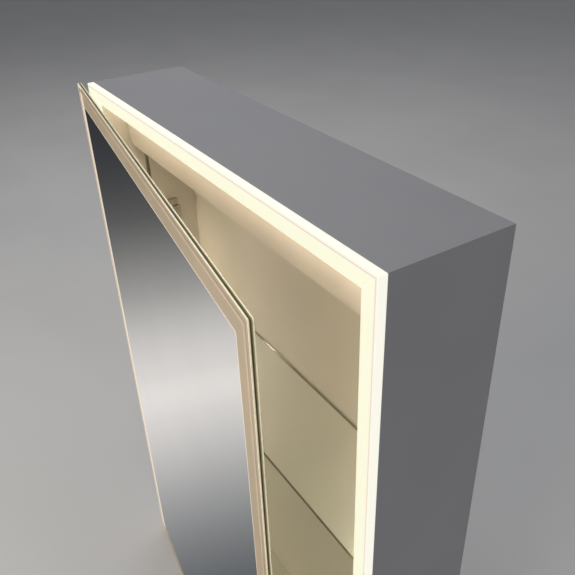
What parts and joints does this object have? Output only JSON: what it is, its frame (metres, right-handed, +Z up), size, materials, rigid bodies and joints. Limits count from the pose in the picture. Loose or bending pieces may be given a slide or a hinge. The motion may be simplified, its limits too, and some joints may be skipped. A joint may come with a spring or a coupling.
{
  "type": "medicine cabinet with mirror",
  "caption": "Wall-hung mirrored medicine cabinet: slim grey carcass, luminous frame round the opening, double-sided mirror door on side hinges, glass shelves inside.",
  "frame": {"origin": "on the wall surface, where the line of the two wall-rail screws crosses the middle of the cabinet", "axes": "+X to the right seen from the front, +Y into the wall, +Z up; the mirrored door faces -Y"},
  "size_m": [0.6037, 0.2333, 0.859],
  "materials": {
    "lacquered_board": "smooth satin grey lacquer on board",
    "back_board": "smooth satin light lacquer",
    "satin_acrylic": "satin opal acrylic lit from behind",
    "channel_aluminium": "mill finish",
    "light_tape": "white tape with warm light chips",
    "painted_cover": "smooth satin light paint",
    "galvanised_steel": "galvanised",
    "driver_case": "fine-grained moulding",
    "terminal_plastic": "moulded",
    "dark_rubber": "matt",
    "clear_silicone": "clear soft silicone",
    "shelf_glass": "clear, polished edges",
    "rail_aluminium": "anodised",
    "bracket_aluminium": "anodised",
    "screw_steel": "zinc plated",
    "hinge_nickel": "nickel plated",
    "grey_plastic": "moulded",
    "magnet_nickel": "nickel plated",
    "mirror_glass": "clear float glass with a satin-etched border",
    "silvering": "silvered",
    "bonding_film": "dark adhesive film"
  },
  "bodies": {
    "cabinet": {"back_panel": "back_board", "bottom_board": "lacquered_board", "cable_grommet": "dark_rubber", "catch_holder": "grey_plastic", "catch_magnet": "magnet_nickel", "catch_screw": "screw_steel", "cover_screws": "screw_steel", "diffuser_bottom": "satin_acrylic", "diffuser_left": "satin_acrylic", "diffuser_right": "satin_acrylic", "diffuser_top": "satin_acrylic", "driver_screws": "screw_steel", "electrics_cover": "painted_cover", "electrics_tray": "galvanised_steel", "hanger_left": "galvanised_steel", "hanger_right": "galvanised_steel", "hanger_screws": "screw_steel", "hinge_arm_lower": "hinge_nickel", "hinge_arm_upper": "hinge_nickel", "hinge_plate_lower": "hinge_nickel", "hinge_plate_upper": "hinge_nickel", "hinge_screws": "screw_steel", "left_side_board": "lacquered_board", "light_driver": "driver_case", "light_tape_bottom": "light_tape", "light_tape_left": "light_tape", "light_tape_right": "light_tape", "light_tape_top": "light_tape", "lighting_channel_bottom": "channel_aluminium", "lighting_channel_left": "channel_aluminium", "lighting_channel_right": "channel_aluminium", "lighting_channel_top": "channel_aluminium", "right_side_board": "lacquered_board", "shelf_brackets_lower": "bracket_aluminium", "shelf_brackets_upper": "bracket_aluminium", "shelf_lower": "shelf_glass", "shelf_pads": "clear_silicone", "shelf_rail_left": "rail_aluminium", "shelf_rail_right": "rail_aluminium", "shelf_upper": "shelf_glass", "terminal_block": "terminal_plastic", "top_board": "lacquered_board", "wall_rail": "galvanised_steel"},
    "door": {"rear_pane": "mirror_glass", "rear_silvering": "silvering", "bonding_film": "bonding_film", "front_silvering": "silvering", "front_pane": "mirror_glass", "edge_seal": "dark_rubber", "hinge_leaf_upper": "hinge_nickel", "hinge_leaf_lower": "hinge_nickel", "hinge_pin_upper": "screw_steel", "hinge_pin_lower": "screw_steel", "strike_plate": "hinge_nickel", "door_stops": "clear_silicone"}
  },
  "joints": [
    {"name": "door_hinge", "type": "hinge", "parent": "cabinet", "child": "door", "pos_m": [-0.2974, -0.138, -0.383], "axis": [0, 0, -1], "range_deg": [-8.3, 87]}
  ]
}
